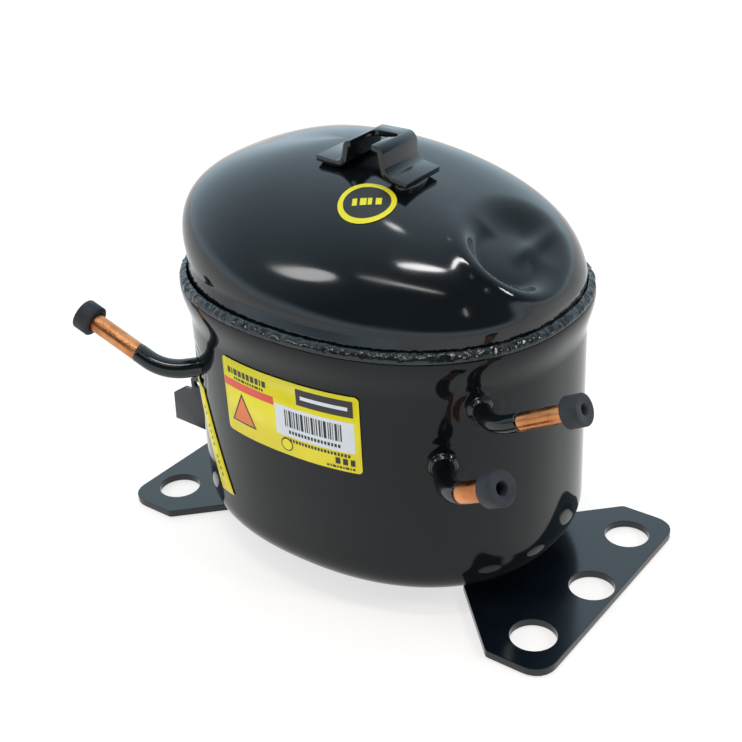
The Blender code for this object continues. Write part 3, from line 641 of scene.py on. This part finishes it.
def printed(name, shapes, lift, look, pitch=2.0, stands_for=()):
    """Flat outlines, given as (x, z) on the front wall, cut into strips and wrapped round it."""
    work = bmesh.new()
    for outline in shapes:
        work.faces.new([work.verts.new((x, 0.0, z)) for x, z in outline])
    low = min(x for outline in shapes for x, _ in outline)
    high = max(x for outline in shapes for x, _ in outline)
    cut = math.ceil(low / pitch) * pitch
    while cut < high:
        geometry = work.verts[:] + work.edges[:] + work.faces[:]
        bmesh.ops.bisect_plane(work, geom=geometry, plane_co=(cut, 0, 0), plane_no=(1, 0, 0), dist=1e-4)
        cut += pitch
    for vertex in work.verts:
        vertex.co = wall_point(vertex.co.x, vertex.co.z, lift) * MM
    bmesh.ops.triangulate(work, faces=work.faces)
    bmesh.ops.recalc_face_normals(work, faces=work.faces)
    data = bpy.data.meshes.new(name)
    work.to_mesh(data)
    work.free()
    for polygon in data.polygons:
        if polygon.normal.y > 0:
            polygon.flip()
    return piece(name, data, look, stands_for=stands_for)


def box_outline(x0, z0, x1, z1):
    return [(x0, z0), (x1, z0), (x1, z1), (x0, z1)]


def rounded_box(x0, z0, x1, z1, radius):
    outline = arc((x1 - radius, z0 + radius), radius, -90, 0)
    outline += arc((x1 - radius, z1 - radius), radius, 0, 90)
    outline += arc((x0 + radius, z1 - radius), radius, 90, 180)
    outline += arc((x0 + radius, z0 + radius), radius, 180, 270)
    return outline


def ellipse(x, z, half_x, half_z, steps=64):
    angles = [2 * math.pi * i / steps for i in range(steps)]
    return [(x + half_x * math.cos(angle), z + half_z * math.sin(angle)) for angle in angles]


def dashes(x0, x1, z, height, lengths, gap):
    """A row of short bars that stands for a line of print."""
    made, x, k = [], x0, 0
    while x + lengths[k % len(lengths)] <= x1:
        made.append(box_outline(x, z, x + lengths[k % len(lengths)], z + height))
        x += lengths[k % len(lengths)] + gap
        k += 1
    return made


def give_thickness(base):
    """Turn a label's printed face into a film."""
    film = base.modifiers.new("Film", "SOLIDIFY")
    film.thickness = FILM_T * MM
    film.offset = -1


def rating_label():
    left, low, right, high = -28.0, 62.0, 31.0, 91.6
    base = printed("rating_film", [rounded_box(left, low, right, high, 1.6)], 0.45, YELLOW,
                   stands_for=["rating_label"])
    give_thickness(base)
    printed("label_red_band", [box_outline(left + 0.2, 80.4, -3.0, 83.6)], 0.48, RED)
    printed("label_dark_panel", [box_outline(7.2, 83.6, 28.9, 89.9)], 0.48, INK)
    printed("label_panel_bar", [box_outline(9.0, 86.0, 27.0, 87.4)], 0.51, WHITE)
    printed("label_white_patch", [box_outline(-2.6, 69.6, 28.9, 81.6)], 0.48, WHITE)
    printed("label_triangle", [[(-25.2, 66.9), (-12.6, 66.9), (-18.9, 79.4)]], 0.48, INK)
    printed("label_triangle_face", [[(-24.2, 67.5), (-13.6, 67.5), (-18.9, 78.0)]], 0.51, ORANGE)
    bars, x, k = [], 1.6, 0
    widths = (0.5, 0.3, 0.9, 0.3, 0.5, 0.7, 0.3, 1.1, 0.4)
    while x < 24.5:
        bars.append(box_outline(x, 73.6, x + widths[k % 9], 80.2))
        x += widths[k % 9] + (0.45, 0.6, 0.35)[k % 3]
        k += 1
    ink = bars
    ink += dashes(-25.2, -6.0, 86.0, 2.4, (1.5, 0.6, 1.7, 1.6, 1.4, 1.5, 1.6), 0.6)
    ink += dashes(-22.0, -6.4, 84.2, 1.0, (0.8, 0.7, 0.9, 1.6, 0.6), 0.45)
    ink += dashes(3.0, 24.0, 71.0, 1.3, (0.9, 0.8, 0.9), 0.45)
    ink += dashes(0.5, 28.0, 67.7, 1.2, (0.8, 0.9, 0.8), 0.45)
    ink += dashes(18.0, 28.6, 62.9, 0.8, (0.9, 0.5, 1.3, 0.5), 0.4)
    ink += [box_outline(21.4, 64.6, 23.2, 67.0), box_outline(24.2, 64.6, 26.0, 67.0),
            box_outline(27.0, 64.6, 28.6, 67.0)]
    printed("label_ink_marks", ink, 0.51, INK)
    printed("label_ring", [ellipse(1.6, 66.2, 2.6, 2.6, 28)], 0.49, INK)
    printed("label_ring_middle", [ellipse(1.6, 66.2, 2.15, 2.15, 28)], 0.52, YELLOW)


def strip_label():
    lean = [(-39.6, 29.2), (-31.2, 30.4), (-47.4, 68.0), (-57.0, 69.6)]
    base = printed("strip_film", [lean], 0.45, YELLOW, pitch=1.0, stands_for=["strip_label"])
    give_thickness(base)
    marks = []
    for i in range(12):
        share = 0.16 + 0.055 * i
        x, z = -35.4 - 17.0 * share, 29.8 + 39.0 * share
        if i in (4, 9):
            continue
        marks.append([(x - 0.5, z - 0.7), (x + 0.5, z - 0.5), (x + 0.2, z + 0.8), (x - 0.8, z + 0.6)])
    printed("strip_ink_marks", marks, 0.49, INK, pitch=1.0)


def lid_sticker():
    """Oval sticker draped on the dome: yellow ring, dark middle and a few plain bars."""
    turn = math.radians(30.0)
    along, over = Vector((math.cos(turn), math.sin(turn))), Vector((-math.sin(turn), math.cos(turn)))
    centre = Vector((15.3, -26.3))

    def draped(name, outline, lift, look, stands_for=()):
        work = bmesh.new()
        work.faces.new([work.verts.new((u, v, 0.0)) for u, v in outline])
        cuts = [((at, at, 0), normal) for at in range(-9, 10) for normal in ((1, 0, 0), (0, 1, 0))]
        for place, normal in cuts:
            geometry = work.verts[:] + work.edges[:] + work.faces[:]
            bmesh.ops.bisect_plane(work, geom=geometry, plane_co=place, plane_no=normal, dist=1e-4)
        for vertex in work.verts:
            spot = centre + along * vertex.co.x + over * vertex.co.y
            vertex.co = (spot.x * MM, spot.y * MM, (dome_z(spot.x, spot.y) + lift) * MM)
        bmesh.ops.triangulate(work, faces=work.faces)
        bmesh.ops.recalc_face_normals(work, faces=work.faces)
        data = bpy.data.meshes.new(name)
        work.to_mesh(data)
        work.free()
        for polygon in data.polygons:
            if polygon.normal.z < 0:
                polygon.flip()
        piece(name, data, look, stands_for=stands_for)

    draped("sticker_rim", ellipse(0.0, 0.0, 9.8, 8.2), 0.30, YELLOW, ["lid_sticker"])
    draped("sticker_middle", ellipse(0.0, 0.0, 8.0, 6.4), 0.36, INK)
    for i, width in enumerate((1.6, 2.2, 1.4, 2.0)):
        u = -4.9 + 2.6 * i
        draped(f"sticker_bar_{i + 1}", box_outline(u, -1.5, u + width, 1.3), 0.42, YELLOW)


def dome_z(x, y):
    """Height of the dome over (x, y), by closing in on the direction and rise that give that point."""
    angle, rise = math.atan2((y - 2.0) * 1.2, x + 8.0), 1.0
    for _ in range(24):
        here = lid_point(angle, rise)
        gap = Vector((x - here.x, y - here.y))
        if gap.length < 1e-4:
            break
        by_angle = (lid_point(angle + 1e-4, rise) - here) / 1e-4
        by_rise = (lid_point(angle, rise + 1e-4) - here) / 1e-4
        det = by_angle.x * by_rise.y - by_rise.x * by_angle.y
        if abs(det) < 1e-9:
            break
        angle += 0.7 * (gap.x * by_rise.y - by_rise.x * gap.y) / det
        rise += 0.7 * (by_angle.x * gap.y - gap.x * by_angle.y) / det
        rise = min(1.55, max(0.02, rise))
    return lid_point(angle, rise).z


# ---------------------------------------------------------------- CAD nodes that stay
def dress(names, look):
    for name in names:
        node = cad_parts[name]
        node.data.materials.clear()
        node.data.materials.append(look)


def four(stem):
    return [f"{stem}_{i}" for i in range(1, 5)]


dress(["terminal_header", "terminal_pin_1", "terminal_pin_2", "terminal_pin_3", "oil_pickup", "suction_reed",
       "discharge_reed", "valve_plate", "wrist_pin", *four("head_screw"), *four("spring_stud"),
       *four("stator_bolt"), *four("suspension_spring")], BRIGHT)
dress(["cylinder_block", "crankshaft", "piston"], CAST)
dress(["stator_core", "rotor_core"], LAMINATION)
dress(["winding_lower", "winding_upper"], WINDING)
dress(["rotor_ring_lower", "rotor_ring_upper", "cylinder_head", "connecting_rod"], ALUMINIUM)
dress(["head_gasket"], GASKET)
dress(["suction_muffler", "lead_connector"], MOULDED)
dress(["discharge_loop"], COPPER)

lower_shell()
lid()
bead()
for stub_name, sizes in STUBS.items():
    stub(stub_name, *sizes)
foot("foot_left", -1)
foot("foot_right", 1)
bracket()
fence()
rating_label()
strip_label()
lid_sticker()


# ---------------------------------------------------------------- studio
def sky():
    """Bright behind and to the left of the compressor, dim in front of it, and white near the horizon."""
    world = bpy.data.worlds.new("studio")
    bpy.context.scene.world = world
    world.use_nodes = True
    tree = world.node_tree
    shader = tree.nodes["Background"]
    where = tree.nodes.new("ShaderNodeTexCoord")
    across = tree.nodes.new("ShaderNodeVectorMath")
    across.operation = "DOT_PRODUCT"
    across.inputs[1].default_value = SKY_SIDE
    tree.links.new(where.outputs["Generated"], across.inputs[0])
    fade = tree.nodes.new("ShaderNodeMapRange")
    fade.interpolation_type = "SMOOTHSTEP"
    fade.inputs["From Min"].default_value = -0.5
    fade.inputs["From Max"].default_value = 0.9
    fade.inputs["To Min"].default_value = 0.12
    fade.inputs["To Max"].default_value = 1.55
    tree.links.new(across.outputs["Value"], fade.inputs["Value"])
    split = tree.nodes.new("ShaderNodeSeparateXYZ")
    tree.links.new(where.outputs["Generated"], split.inputs["Vector"])
    haze = tree.nodes.new("ShaderNodeMapRange")
    haze.interpolation_type = "SMOOTHSTEP"
    haze.inputs["From Min"].default_value = 0.06
    haze.inputs["From Max"].default_value = 0.18
    haze.inputs["To Min"].default_value = 1.0
    haze.inputs["To Max"].default_value = 0.0
    tree.links.new(split.outputs["Z"], haze.inputs["Value"])
    level = tree.nodes.new("ShaderNodeMix")
    level.inputs["B"].default_value = 1.45
    tree.links.new(haze.outputs["Result"], level.inputs["Factor"])
    tree.links.new(fade.outputs["Result"], level.inputs["A"])
    tree.links.new(level.outputs["Result"], shader.inputs["Strength"])
    shader.inputs["Color"].default_value = (0.70, 0.88, 1.0, 1.0)


def lamp(name, toward, along, size, watts):
    """A soft panel a metre from the dome, in the direction toward, with its long side along the other one."""
    data = bpy.data.lights.new(name, "AREA")
    data.shape = "ELLIPSE"
    data.size, data.size_y = size
    data.energy = watts
    obj = bpy.data.objects.new(name, data)
    back = Vector(toward).normalized()
    side = Vector(along)
    side = (side - back * side.dot(back)).normalized()
    turn = Matrix((side, back.cross(side), back)).transposed().to_4x4()
    obj.matrix_world = Matrix.Translation(Vector((0.04, -0.035, 0.13)) + back) @ turn
    bpy.context.scene.collection.objects.link(obj)


def studio():
    data = bpy.data.meshes.new("floor")
    half, level = 40.0, -0.0005
    corners = [(-half, -half, level), (half, -half, level), (half, half, level), (-half, half, level)]
    data.from_pydata(corners, [], [(0, 1, 2, 3)])
    floor = bpy.data.objects.new("floor", data)
    bpy.context.scene.collection.objects.link(floor)
    look, _, shader = new_material("floor_white")
    shader.inputs["Base Color"].default_value = (0.50, 0.44, 0.40, 1.0)
    shader.inputs["Roughness"].default_value = 1.0
    shader.inputs["Specular IOR Level"].default_value = 0.0
    shader.inputs["Emission Color"].default_value = (1.0, 1.0, 1.0, 1.0)
    shader.inputs["Emission Strength"].default_value = 0.68
    data.materials.append(look)
    sky()
    for name, values in LAMPS.items():
        lamp(name, *values)


def camera():
    place = Vector(CAMERA_PLACE)
    facing = (Vector(CAMERA_FACES) - place).to_track_quat("-Z", "Y").to_matrix().to_4x4()
    data = bpy.data.cameras.new("camera")
    data.sensor_width = 36.0
    data.lens = CAMERA_LENS
    data.clip_start = 0.01
    data.clip_end = 200.0
    obj = bpy.data.objects.new("camera", data)
    roll = Matrix.Rotation(math.radians(CAMERA_ROLL), 4, "Z")
    obj.matrix_world = Matrix.Translation(place) @ facing @ roll
    bpy.context.scene.collection.objects.link(obj)
    bpy.context.scene.camera = obj


studio()
camera()
bpy.context.scene.view_settings.view_transform = "Standard"
